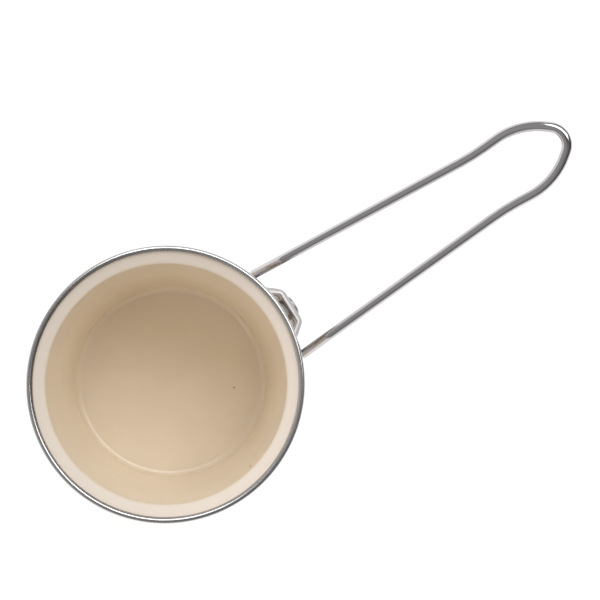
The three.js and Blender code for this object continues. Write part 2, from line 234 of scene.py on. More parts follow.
class StageSettings(PropertyGroup):
    """Camera, lights and floor"""

    camera_place: place("Camera place", (12.4 * MM, -0.9 * MM, 538 * MM), "Where the camera stands")
    camera_aim: place("Camera aim", (55.7 * MM, 0.2 * MM, 80 * MM), "What the middle of the picture shows")
    handle_angle: angle("Handle angle", 31.92, "Handle in the picture, anticlockwise from the right")
    lens: FloatProperty(name="Lens", description="Focal length", default=77.5, min=1, unit="CAMERA")
    floor_size: length("Floor size", 12, "Side of the floor")
    floor_colour: colour("Floor colour", (0.9, 0.9, 0.9), "Pale floor")
    key_distance: length("Key distance", 0.9, "From the pot's rim to the key softbox")
    key_angle: angle("Key angle", 68, "Key softbox in the picture, anticlockwise from the right")
    key_height: angle("Key height", 56, "Key softbox above the horizon")
    key_width: length("Key width", 1.2, "Key softbox from side to side")
    key_depth: length("Key depth", 0.5, "Key softbox from its lower to its upper edge")
    key_power: FloatProperty(name="Key power", description="Key softbox", default=6.8, min=0, unit="POWER")
    key_colour: colour("Key colour", (0.94, 0.975, 1.0), "Slightly cool daylight")
    high_dim_angle: angle("High dim angle", 35, "Dim side high up, anticlockwise from the right")
    low_dim_angle: angle("Low dim angle", -15, "Dim side low down, anticlockwise from the right")


class CoffeePotSettings(PropertyGroup):
    """Everything that can be set"""

    pot: PointerProperty(type=PotSizes)
    seat: PointerProperty(type=SeatSizes)
    handle: PointerProperty(type=HandleSizes)
    fastener: PointerProperty(type=FastenerSizes)
    finish: PointerProperty(type=FinishColours)
    stage: PointerProperty(type=StageSettings)


def middle_of(node):
    low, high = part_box(node)
    return (low + high) / 2


class Layout:
    """Places that follow from the sizes and from the frame."""

    def __init__(self, settings):
        pot, seat = settings.pot, settings.seat
        handle, fastener = settings.handle, settings.fastener

        # The lip's edge, and the directions along the lip and square to it, out of the pot
        self.lip_along = Vector((math.sin(pot.lip_angle), 0, math.cos(pot.lip_angle)))
        self.lip_square = Vector((math.cos(pot.lip_angle), 0, -math.sin(pot.lip_angle)))
        self.band_radius = pot.sheet / 2 + pot.band_gap + pot.band_sheet
        self.lip_edge = Vector((pot.rim_radius - self.band_radius, 0, pot.height - self.band_radius))
        lip_flare = self.lip_edge.x - pot.neck_radius
        self.neck_height = self.lip_edge.z - lip_flare / math.tan(pot.lip_angle)

        # Distances from the pot's middle, straight out of the sloping wall at the screw
        slope = math.tan(pot.wall_taper)
        screw_height = self.neck_height - seat.bracket_drop - seat.bracket_height / 2
        wall_middle = pot.neck_radius - (self.neck_height - screw_height) * slope
        wall_outside = wall_middle + pot.sheet / 2 / math.cos(pot.wall_taper)
        self.wall_curve = wall_outside / math.cos(pot.wall_taper)
        self.bracket_face = self.wall_curve + seat.bracket_depth
        self.plate_face = self.bracket_face + seat.nest_gap + seat.plate_sheet
        self.washer_seat = self.plate_face + fastener.seat_gap
        self.head_seat = self.washer_seat + fastener.washer_thickness + fastener.seat_gap
        self.nut_seat = self.bracket_face - seat.bracket_sheet - fastener.seat_gap
        self.nut_back = self.nut_seat - fastener.nut_thickness
        self.tail_out = self.wall_curve + handle.tail_gap + handle.wire_diameter / 2

        # The screw's axis runs through the nut and the washer, square to the wall
        washer = middle_of("lock_washer")
        out = (washer - middle_of("handle_nut")).normalized()
        self.seat = Matrix((out, ACROSS, out.cross(ACROSS))).transposed().to_4x4()
        self.seat.translation = washer - out * (self.washer_seat + fastener.washer_thickness / 2)


# Modelling


def spun(bm, pen, turn=0.0, steps=1, axis=UP, centre=(0, 0, 0), shift=(0, 0, 0), whole=False):
    """Draws the pen's vertices and edges round an axis and along a shift, and gives the pen at its end."""
    return bmesh.ops.spin(
        bm,
        geom=pen,
        angle=turn,
        steps=steps,
        axis=axis,
        cent=centre,
        dvec=shift,
        use_merge=whole,
        use_duplicate=False,
    )["geom_last"]


def bend_along(bm, pen, corners, mark=None):
    """Draws the pen, which stands at the first corner, along straight legs and round the bends between.

    corners are (place, bend radius). mark, if given, is called with the pen and the length drawn so far.
    """
    here, drawn = Vector(corners[0][0]), 0.0
    for number, (corner, bend) in enumerate(corners[1:], 1):
        corner = Vector(corner)
        ahead = (corner - Vector(corners[number - 1][0])).normalized()
        is_last = number == len(corners) - 1
        after = ahead if is_last else (Vector(corners[number + 1][0]) - corner).normalized()
        turn = ahead.angle(after)
        reach = bend * math.tan(turn / 2)
        leg = corner - ahead * reach - here
        if leg.length > MERGE_DISTANCE:
            pen = spun(bm, pen, shift=leg)
            drawn += leg.length
            if mark:
                mark(pen, drawn)
        if reach > 0:
            axis = ahead.cross(after).normalized()
            centre = corner - ahead * reach + axis.cross(ahead) * bend
            steps = math.ceil(turn / BEND_STEP)
            for _ in range(steps):
                pen = spun(bm, pen, turn / steps, axis=axis, centre=centre)
                drawn += bend * turn / steps
                if mark:
                    mark(pen, drawn)
        here = corner + after * reach
    return pen


def bent_line(corners):
    """A new bmesh with a line of edges through the corners, with its bends rounded."""
    bm = bmesh.new()
    start = bm.verts.new(corners[0][0])
    bend_along(bm, [start], corners)
    return bm


def everything(bm):
    return [*bm.verts, *bm.edges]


def sort_by(parts, key):
    """Puts a bmesh's vertices, edges or faces in the order of a key."""
    for rank, part in enumerate(sorted(parts, key=key)):
        part.index = rank
    parts.sort()


def in_order(bm):
    """Sorts what a cut leaves, whose order varies from run to run, so that the later steps repeat."""
    places = {vertex: tuple(vertex.co) for vertex in bm.verts}
    sort_by(bm.verts, places.get)
    for parts in (bm.edges, bm.faces):
        sort_by(parts, lambda part: sorted(places[vertex] for vertex in part.verts))
    return bm


def closed_up(bm):
    """Merges the vertices that meet, and turns the faces outwards."""
    bmesh.ops.remove_doubles(bm, verts=bm.verts, dist=MERGE_DISTANCE)
    bmesh.ops.recalc_face_normals(bm, faces=bm.faces)
    return bm


def turned(corners, axis=UP, steps=ROUND_STEPS):
    """A line turned once round an axis through the origin."""
    bm = bent_line(corners)
    spun(bm, everything(bm), 2 * math.pi, steps, axis, whole=True)
    return closed_up(bm)


def thickened(bm, sheet, way):
    """Gives a surface its thickness behind it. The face that lies furthest along way is turned that way."""
    front = max(bm.faces, key=lambda face: face.calc_center_median().dot(way))
    if front.normal.dot(way) < 0:
        bmesh.ops.reverse_faces(bm, faces=bm.faces)
    bmesh.ops.solidify(bm, geom=list(bm.faces), thickness=sheet)
    return bm


def prism(corners, draw):
    """Solid of a closed outline with rounded corners, drawn along a vector."""
    bm = bent_line([*corners, corners[0]])
    bmesh.ops.remove_doubles(bm, verts=bm.verts, dist=MERGE_DISTANCE)
    face = bmesh.ops.contextual_create(bm, geom=list(bm.edges))["faces"]
    drawn = bmesh.ops.extrude_face_region(bm, geom=face)["geom"]
    moved = [part for part in drawn if isinstance(part, bmesh.types.BMVert)]
    bmesh.ops.translate(bm, verts=moved, vec=draw)
    bmesh.ops.recalc_face_normals(bm, faces=bm.faces)
    return bm


def rod(radius, start, end, steps=SMALL_ROUND_STEPS):
    """Round bar along the X axis."""
    bm = bmesh.new()
    matrix = Matrix.Translation((start + (end - start) / 2, 0, 0)) @ Matrix.Rotation(math.pi / 2, 4, "Y")
    bmesh.ops.create_cone(
        bm, cap_ends=True, segments=steps, radius1=radius, radius2=radius, depth=end - start, matrix=matrix
    )
    return bm


def carved(bm, cutter, operation="DIFFERENCE"):
    """The first solid cut by the second. Both are used up, and a new bmesh comes back."""
    objects = []
    for part in (bm, cutter):
        mesh = bpy.data.meshes.new("carving")
        part.to_mesh(mesh)
        part.free()
        objects.append(bpy.data.objects.new("carving", mesh))
        bpy.context.scene.collection.objects.link(objects[-1])
    blank, tool = objects
    cut = blank.modifiers.new("cut", "BOOLEAN")
    cut.object = tool
    cut.operation = operation
    cut.solver = "EXACT"
    result = bmesh.new()
    result.from_object(blank, bpy.context.evaluated_depsgraph_get())
    for mesh in [part.data for part in objects]:
        bpy.data.meshes.remove(mesh)
    if not result.faces:
        raise RuntimeError("A cut left nothing of a piece")
    return closed_up(in_order(result))


def sheared_edges(bm):
    return [edge for edge in bm.edges if edge.is_manifold and edge.calc_face_angle() > SOFTEN_ANGLE]


def softened(bm, width, segments=3):
    """Rounds the sheared edges, after merging corners on them that a cut left too close together."""
    sheared = set(sheared_edges(bm))
    corners = [corner for corner in bm.verts if sheared.intersection(corner.link_edges)]
    bmesh.ops.remove_doubles(bm, verts=corners, dist=SHORT_EDGE)
    bmesh.ops.bevel(
        bm,
        geom=sheared_edges(bm),
        offset=width,
        offset_type="OFFSET",
        segments=segments,
        profile=0.5,
        affect="EDGES",
        clamp_overlap=True,
        material=-1,
    )
    return closed_up(bm)


def moved_to(bm, matrix):
    bmesh.ops.transform(bm, matrix=matrix, verts=bm.verts)
    return bm


def closed_section(corners):
    """A new bmesh with a closed outline, from each corner's distances along the X axis and from it."""
    bm = bmesh.new()
    vertices = [bm.verts.new((along, off, 0)) for along, off in corners]
    for number, vertex in enumerate(vertices):
        bm.edges.new((vertices[number - 1], vertex))
    return bm


def turned_bar(outline):
    """Bar turned round the X axis, from each corner's distance along it, radius and bend."""
    corners = [(Vector((along, radius, 0)), bend) for along, radius, bend in outline]
    return turned(corners, OUT, SMALL_ROUND_STEPS)


def add_piece(name, bm, materials, nodes=(), flat_faces=False):
    """Makes an object of the bmesh, which rides on the pot and stands for its CAD nodes."""
    mesh = bpy.data.meshes.new(name)
    bm.to_mesh(mesh)
    bm.free()
    for material in materials:
        mesh.materials.append(material)
    mesh.shade_smooth()
    mesh.set_sharp_from_angle(angle=SHARP_ANGLE)
    piece = bpy.data.objects.new(name, mesh)
    bpy.context.scene.collection.objects.link(piece)
    if flat_faces:
        weighted = piece.modifiers.new("flat faces", "WEIGHTED_NORMAL")
        weighted.keep_sharp = True
    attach(piece, BODY)
    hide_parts(*nodes)
    return piece


# Finishes

# Shares of a finish's colour between which its grain or clouds vary it
ENAMEL_TONES = (0.97, 1.02)
STEEL_TONES = (0.96, 1.03)
ZINC_TONES = (0.9, 1.08)

# Lowest and highest roughness, and depth of the relief
ENAMEL_GLOSS = (0.09, 0.14, 0.01 * MM)
ROLLED_GLOSS = (0.24, 0.28, 0.0002 * MM)
DRAWN_GLOSS = (0.08, 0.14, 0.001 * MM)
TUMBLED_GLOSS = (0.42, 0.5, 0.002 * MM)
BRACKET_GLOSS = (0.36, 0.44, 0.002 * MM)
HOLLOW_GLOSS = (0.46, 0.52, 0.0003 * MM)
TURNED_GLOSS = (0.36, 0.44, 0.002 * MM)
WELD_GLOSS = (0.25, 0.45, 0.05 * MM)
ZINC_GLOSS = (0.5, 0.65, 0.003 * MM)

NOISE_SPAN = (0.25, 0.75)  # where most of the noise lies
SPECK_SQUASH = Vector((1, 1, 0.35))  # a speck on the wall is taller than it is wide
SPECK_CORE = 0.5  # share of a speck's radius that is fully dark


def add_node(tree, kind, sockets=None, **settings):
    """Adds a node. sockets holds values, or output sockets to link, by input name or number."""
    made = tree.nodes.new(kind)
    for name, value in settings.items():
        setattr(made, name, value)
    for name, value in (sockets or {}).items():
        if isinstance(value, bpy.types.NodeSocket):
            tree.links.new(value, made.inputs[name])
        else:
            made.inputs[name].default_value = value
    return made


def math_node(tree, operation, first, second=0.0):
    return add_node(tree, "ShaderNodeMath", {0: first, 1: second}, operation=operation).outputs[0]


def object_place(tree):
    return add_node(tree, "ShaderNodeTexCoord").outputs["Object"]


def vector_node(tree, operation, first, second):
    """Vector maths. DISTANCE and DOT_PRODUCT give a value, and the others a vector."""
    made = add_node(tree, "ShaderNodeVectorMath", {0: first, 1: second}, operation=operation)
    return made.outputs["Value" if operation in ("DISTANCE", "DOT_PRODUCT") else "Vector"]


def scaled(tree, vector, share):
    sockets = {0: vector, "Scale": share}
    return add_node(tree, "ShaderNodeVectorMath", sockets, operation="SCALE").outputs["Vector"]


def ranged(tree, value, start, end, low=0.0, high=1.0, **settings):
    """Carries a value over from the range between start and end to the one between low and high."""
    sockets = {"Value": value, "From Min": start, "From Max": end, "To Min": low, "To Max": high}
    return add_node(tree, "ShaderNodeMapRange", sockets, **settings).outputs["Result"]


def noise(tree, vector, scale, detail=2.0, stretch=(1, 1, 1)):
    """Soft noise, about 0 to 1, on a vector stretched along its axes. scale is in waves per metre."""
    stretched = add_node(tree, "ShaderNodeMapping", {"Vector": vector, "Scale": stretch}, vector_type="POINT")
    sockets = {"Vector": stretched.outputs[0], "Scale": scale, "Detail": detail}
    return add_node(tree, "ShaderNodeTexNoise", sockets).outputs["Fac"]


def between(tree, factor, low, high):
    """Carries noise over to a range of values."""
    return ranged(tree, factor, *NOISE_SPAN, low, high)


def mixed(tree, factor, first, second):
    mix = add_node(tree, "ShaderNodeMix", {"Factor": factor}, data_type="RGBA")
    first_colour, second_colour, result = mix.inputs[6], mix.inputs[7], mix.outputs[2]
    for socket, value in ((first_colour, first), (second_colour, second)):
        if isinstance(value, bpy.types.NodeSocket):
            tree.links.new(value, socket)
        else:
            socket.default_value = (*value, 1)
    return result


def shade(rgb, share):
    return tuple(min(1.0, part * share) for part in rgb)


def toned(tree, grain, rgb, tones):
    """A colour that the grain varies between two shares of it."""
    low, high = tones
    return mixed(tree, between(tree, grain, 0, 1), shade(rgb, low), shade(rgb, high))


def bump(tree, height, distance):
    return add_node(tree, "ShaderNodeBump", {"Height": height, "Distance": distance}).outputs["Normal"]


def new_finish(name):
    material = bpy.data.materials.new(name)
    material.use_nodes = True
    tree = material.node_tree
    return material, tree, tree.nodes["Principled BSDF"]


def feed(tree, shader, **sockets):
    """Links output sockets to the shader's inputs, or sets values on them."""
    for name, value in sockets.items():
        target = shader.inputs[name.replace("_", " ").title().replace("Ior", "IOR")]
        if isinstance(value, bpy.types.NodeSocket):
            tree.links.new(value, target)
        else:
            target.default_value = value


def enamel_finish(name, finish, lip_heights, specks):
    """Fired enamel: clouded colour, faint waves in the gloss and dark pinholes, with a painted highlight tone
    on the lip: paler and duller where the lip catches the most light.

    lip_heights are where the lip's painted highlight tone starts and where it is full. specks are (place,
    radius).
    """
    material, tree, shader = new_finish(name)
    at = object_place(tree)
    height = add_node(tree, "ShaderNodeSeparateXYZ", {0: at}).outputs["Z"]
    # Painted highlight tone: the lip is painted in a paler, duller enamel where it catches the most light.
    painted_lip_highlight_mask = ranged(tree, height, *lip_heights, interpolation_type="SMOOTHSTEP")
    clouds = noise(tree, at, 60, 3)
    tone = mixed(tree, painted_lip_highlight_mask, toned(tree, clouds, finish.enamel, ENAMEL_TONES), finish.lip_painted_highlight_tone)
    squashed = vector_node(tree, "MULTIPLY", at, SPECK_SQUASH)
    for centre, radius in specks:
        apart = vector_node(tree, "DISTANCE", squashed, centre * SPECK_SQUASH)
        dark = ranged(tree, apart, radius, SPECK_CORE * radius)
        tone = mixed(tree, dark, tone, finish.speck)
    low, high, depth = ENAMEL_GLOSS
    smears, waves = noise(tree, at, 150, 3), noise(tree, at, 420, 2)
    feed(tree, shader, base_color=tone, specular_ior_level=0.5)
    feed(tree, shader, roughness=between(tree, smears, low, high), normal=bump(tree, waves, depth))
    return material


def metal_finish(name, rgb, grain_of, gloss, tones=STEEL_TONES, metallic=1.0):
    """Bare steel or a dull coat, whose grain, made by grain_of(tree), varies its tone, gloss and relief."""
    material, tree, shader = new_finish(name)
    grain = grain_of(tree)
    low, high, depth = gloss
    feed(tree, shader, base_color=toned(tree, grain, rgb, tones), metallic=metallic)
    feed(tree, shader, roughness=between(tree, grain, low, high), normal=bump(tree, grain, depth))
    return material


def drawn_grain(tree):
    """Streaks along the wire, on its own attribute: place across the wire and length along it."""
    along_wire = add_node(tree, "ShaderNodeAttribute", attribute_name="grain").outputs["Vector"]
    return noise(tree, along_wire, 1800, 3, (1, 1, 0.02))


def rolled_grain(tree):
    """Streaks round the rim: radius and height far finer than the way round."""
    x, y, z = add_node(tree, "ShaderNodeSeparateXYZ", {0: object_place(tree)}).outputs
    squares = [math_node(tree, "MULTIPLY", side, side) for side in (x, y)]
    radius = math_node(tree, "SQRT", math_node(tree, "ADD", *squares))
    round_it = math_node(tree, "ARCTAN2", y, x)
    polar = add_node(tree, "ShaderNodeCombineXYZ", {0: radius, 1: round_it, 2: z}).outputs[0]
    return noise(tree, polar, 3000, 3, (1, 0.002, 1))


def tumbled_grain(tree):
    return noise(tree, object_place(tree), 1400, 4)


def turned_grain(tree):
    return noise(tree, object_place(tree), 2400, 3, (1, 0.25, 0.25))


def beaded_grain(tree):
    return noise(tree, object_place(tree), 900, 3)


# Pieces


class BuildOperator:
    """What the operators share."""

    bl_options = {"REGISTER", "UNDO"}

    def start(self, context):
        """The settings, and the places that follow from them."""
        settings = context.scene.coffee_pot
        return settings, Layout(settings)


def pot_specks(pot):
    """Two pinholes in the enamel: one on the floor and one on the wall."""
    floor_speck = Vector((20.6 * MM, -16 * MM, pot.sheet))
    wall_speck = Vector((9.5 * MM, -41.3 * MM, 67.5 * MM))
    return ((floor_speck, 0.4 * MM), (wall_speck, 0.55 * MM))


class COFFEEPOT_OT_make_pot(BuildOperator, Operator):
    """Make the enamelled pot: its floor, wall and flared lip, turned and given the sheet's thickness"""

    bl_idname = "coffee_pot.make_pot"
    bl_label = "Pot"

    def execute(self, context):
        settings, layout = self.start(context)
        pot = settings.pot
        half = pot.sheet / 2
        floor_corner = pot.neck_radius - layout.neck_height * math.tan(pot.wall_taper)
        floor_corner += half / math.cos(pot.wall_taper)
        lean = (pot.wall_taper + pot.lip_angle) / 2
        neck_reach = half / math.cos((pot.lip_angle - pot.wall_taper) / 2)
        neck = Vector((pot.neck_radius, 0, layout.neck_height))
        neck += neck_reach * Vector((math.cos(lean), 0, -math.sin(lean)))
        outside = [
            (Vector((0, 0, 0)), 0),
            (Vector((floor_corner, 0, 0)), pot.floor_bend + pot.sheet),
            (neck, pot.neck_bend),
            (layout.lip_edge + half * layout.lip_square, 0),
        ]
        shell = thickened(turned(outside), pot.sheet, -UP)
        # Heights where the lip's painted highlight tone starts and where it is full.
        lip_heights = (layout.neck_height - pot.neck_bend, layout.neck_height + pot.neck_bend)
        enamel = enamel_finish("pot_enamel", settings.finish, lip_heights, pot_specks(pot))
        add_piece("enamelled_pot", shell, [enamel], ["pot_body"])
        return {"FINISHED"}


class COFFEEPOT_OT_make_rim(BuildOperator, Operator):
    """Make the rim band: a strip rolled over the lip's edge, open towards the lip"""

    bl_idname = "coffee_pot.make_rim"
    bl_label = "Rim band"

    def execute(self, context):
        settings, layout = self.start(context)
        pot = settings.pot
        roll = layout.band_radius

        def corner(along, side, bend=0.0):
            return layout.lip_edge + along * layout.lip_along + side * roll * layout.lip_square, bend

        outside = [
            corner(-pot.band_flange, 1),
            corner(roll, 1, roll),
            corner(roll, -1, roll),
            corner(-pot.band_flange, -1),
        ]
        band = softened(thickened(turned(outside), pot.band_sheet, -UP), pot.band_sheet / 4, 2)
        steel = metal_finish("rolled_steel", settings.finish.rim_steel, rolled_grain, ROLLED_GLOSS)
        add_piece("rolled_rim_band", band, [steel], ["rim_band"])
        return {"FINISHED"}


def hat_line(seat, layout, outside, circle):
    """Corner of a hat's flat, and where its side meets a circle about the pot's middle."""
    flat = layout.bracket_face + outside
    half = seat.bracket_flat / 2 + outside * math.tan((math.pi / 2 - seat.side_splay) / 2)
    cos, sin = math.cos(seat.side_splay), math.sin(seat.side_splay)
    nearest = flat * cos - half * sin
    slant = nearest - math.sqrt(nearest**2 - (flat**2 + half**2 - circle**2))
    return Vector((flat, half, 0)), Vector((flat - slant * cos, half + slant * sin, 0))


def hat(half_line, sheet, height):
    """Sheet bent to a hat, from the outer face of one half of it, and drawn up the wall."""
    other_half = [(Vector((at.x, -at.y, at.z)), bend) for at, bend in reversed(half_line)]
    bm = bent_line([*half_line, *other_half])
    bmesh.ops.translate(bm, verts=bm.verts, vec=-height / 2 * UP)
    spun(bm, everything(bm), shift=height * UP)
    return thickened(bm, sheet, OUT)


def cross_slot(start, end, handle):
    """Cutter for the wire's slot across the handle, between two distances out of the pot's middle."""
    radius = handle.wire_diameter / 2 + handle.notch_gap
    half_width = handle.tail_half_width + CUT_MARGIN
    left, right = start - radius, end + radius
    outline = [(left, -radius), (right, -radius), (right, radius), (left, radius)]
    middle = (Vector(((start + end) / 2, -half_width, -radius)), 0)
    corners = [(Vector((x, -half_width, z)), radius) for x, z in outline]
    return prism([middle, *corners[1:], corners[0]], 2 * half_width * ACROSS)


def screw_hole(layout, fastener):
    radius = fastener.screw_diameter / 2 + fastener.hole_gap
    return rod(radius, layout.bracket_face - CUT_MARGIN, layout.plate_face + CUT_MARGIN)


class COFFEEPOT_OT_make_bracket(BuildOperator, Operator):
    """Make the welded bracket: a hat with its feet on the wall and a slot in each side for the wire"""

    bl_idname = "coffee_pot.make_bracket"
    bl_label = "Wall bracket"

    def execute(self, context):
        settings, layout = self.start(context)
        seat, handle = settings.seat, settings.handle
        foot_circle = layout.wall_curve - seat.weld_sink + seat.bracket_sheet
        corner, toe = hat_line(seat, layout, 0, foot_circle)
        foot_turn = math.atan2(toe.y, toe.x) + seat.bracket_foot / foot_circle / 2
        foot_end = toe + seat.bracket_foot * Vector((-math.sin(foot_turn), math.cos(foot_turn), 0))
        half_line = [
            (foot_end, 0),
            (toe, seat.bracket_bend),
            (corner, seat.bracket_bend + seat.bracket_sheet),
        ]
        shape = hat(half_line, seat.bracket_sheet, seat.bracket_height)
        slot_end = layout.tail_out + handle.slot_travel
        shape = carved(shape, cross_slot(layout.tail_out, slot_end, handle))
        shape = softened(carved(shape, screw_hole(layout, settings.fastener)), seat.edge_rounding)
        # Painted shade and highlight: faces that point towards the wall take the darker hollow steel, and the
        # rest take the lighter bracket steel, both copies of the plate's steel.
        for face in shape.faces:
            face.material_index = int(face.normal.x < HOLLOW_FACING)
        steels = [
            metal_finish("bracket_painted_highlight_steel", settings.finish.bracket_painted_highlight_steel, tumbled_grain, BRACKET_GLOSS),
            metal_finish("hollow_painted_shade_steel", settings.finish.hollow_painted_shade_steel, tumbled_grain, HOLLOW_GLOSS),
        ]
        moved_to(shape, layout.seat)
        add_piece("welded_bracket", shape, steels, ["pot_bracket"], flat_faces=True)
        return {"FINISHED"}


class COFFEEPOT_OT_make_plate(BuildOperator, Operator):
    """Make the handle plate: a hat with rounded corners that nests over the bracket"""

    bl_idname = "coffee_pot.make_plate"
    bl_label = "Handle plate"

    def execute(self, context):
        settings, layout = self.start(context)
        seat, handle = settings.seat, settings.handle
        foot_face = layout.wall_curve - seat.weld_sink + seat.bracket_sheet
        toe_circle = foot_face + seat.plate_toe_gap + seat.plate_sheet
        corner, toe = hat_line(seat, layout, seat.nest_gap + seat.plate_sheet, toe_circle)
        bend = seat.bracket_bend + seat.bracket_sheet + seat.nest_gap + seat.plate_sheet
        shape = hat([(toe, 0), (corner, bend)], seat.plate_sheet, seat.plate_height)

        back = toe.x - seat.plate_sheet
        front = corner.x + CUT_MARGIN
        side, wide = seat.plate_height / 2, toe.y + CUT_MARGIN
        outline = [
            (Vector((front, -wide, 0)), 0),
            (Vector((front, -wide, side)), 0),
            (Vector((back, -wide, side)), seat.plate_corner),
            (Vector((back, -wide, -side)), seat.plate_corner),
            (Vector((front, -wide, -side)), 0),
        ]
        shape = carved(shape, prism(outline, 2 * wide * ACROSS), "INTERSECT")
        shape = carved(shape, cross_slot(back - CUT_MARGIN, layout.tail_out, handle))
        shape = softened(carved(shape, screw_hole(layout, settings.fastener)), seat.edge_rounding)
        steel = metal_finish("tumbled_steel", settings.finish.plate_steel, tumbled_grain, TUMBLED_GLOSS)
        moved_to(shape, layout.seat)
        add_piece("nested_handle_plate", shape, [steel], ["handle_plate"], flat_faces=True)
        return {"FINISHED"}


class COFFEEPOT_OT_make_wire(BuildOperator, Operator):
    """Make the handle: one wire, bent from its tails in the plate to the kinks, the waist and the loop"""

    bl_idname = "coffee_pot.make_wire"
    bl_label = "Handle wire"

    def route(self, settings, layout):
        """Corners of the wire's middle line, from one end to the other."""
        handle, pot = settings.handle, settings.pot
        kink = Vector((pot.rim_radius + handle.kink_reach, 0, pot.height + handle.kink_rise))
        along = Vector((math.cos(handle.grip_rise), 0, math.sin(handle.grip_rise)))

        def at_wall(half):
            return layout.seat @ Vector((layout.tail_out, half, 0))

        def on_grip(reach, half):
            return kink + reach * along + half * ACROSS

        def leg(side):
            return [
                (at_wall(side * handle.tail_end), 0),
                (at_wall(side * handle.tail_half_width), handle.tail_bend),
                (on_grip(0, side * handle.kink_half_width), handle.kink_bend),
                (on_grip(handle.waist_length, side * handle.waist_half_width), handle.waist_bend),
                (on_grip(handle.shoulder_length, side * handle.shoulder_half_width), handle.shoulder_bend),
            ]

        tip = (on_grip(handle.tip_length, 0), handle.tip_bend)
        return [*leg(1), tip, *reversed(leg(-1))]

    def execute(self, context):
        settings, layout = self.start(context)
        handle = settings.handle
        corners = self.route(settings, layout)
        first_leg = corners[1][0] - corners[0][0]
        wire = bmesh.new()
        grain = wire.verts.layers.float_vector.new("grain")
        facing = Matrix.Translation(corners[0][0]) @ first_leg.to_track_quat("Z", "Y").to_matrix().to_4x4()
        bmesh.ops.create_circle(wire, segments=WIRE_SIDES, radius=handle.wire_diameter / 2)
        for vertex in wire.verts:
            vertex[grain] = vertex.co
        moved_to(wire, facing)

        def mark(pen, drawn):
            for part in pen:
                if isinstance(part, bmesh.types.BMVert):
                    part[grain].z = drawn

        bend_along(wire, everything(wire), corners, mark)
        bmesh.ops.holes_fill(wire, edges=wire.edges, sides=WIRE_SIDES)
        softened(closed_up(wire), handle.end_rounding)
        steel = metal_finish("drawn_steel", settings.finish.wire_steel, drawn_grain, DRAWN_GLOSS)
        add_piece("bent_wire_handle", wire, [steel], ["handle_wire"])
        return {"FINISHED"}


class COFFEEPOT_OT_make_welds(BuildOperator, Operator):
    """Make the weld beads that join the wire's two tails to the sides of the plate"""

    bl_idname = "coffee_pot.make_welds"
    bl_label = "Tail welds"

    def execute(self, context):
        settings, layout = self.start(context)
        seat, handle = settings.seat, settings.handle
        _, on_side = hat_line(seat, layout, seat.nest_gap + seat.plate_sheet / 2, layout.tail_out)
        ring = handle.wire_diameter / 2
        beads = bmesh.new()
        for side in (1, -1):
            bead = bmesh.new()
            bmesh.ops.create_circle(bead, segments=BEAD_SIDES, radius=handle.weld_radius)
            upright = Matrix.Rotation(math.pi / 2, 4, "X")
            moved_to(bead, Matrix.Translation((ring, 0, 0)) @ upright)
            spun(bead, everything(bead), 2 * math.pi, BEAD_STEPS, whole=True)
            closed_up(bead)
            splay = Matrix.Rotation(side * seat.side_splay, 4, "Z")
            at = Matrix.Translation((layout.tail_out, side * on_side.y, 0))
            moved_to(bead, layout.seat @ at @ splay @ upright)
            mesh = bpy.data.meshes.new("bead")
            bead.to_mesh(mesh)
            bead.free()
            beads.from_mesh(mesh)
            bpy.data.meshes.remove(mesh)
        steel = metal_finish("weld_steel", settings.finish.weld_steel, beaded_grain, WELD_GLOSS)
        add_piece("tail_welds", beads, [steel])
        return {"FINISHED"}


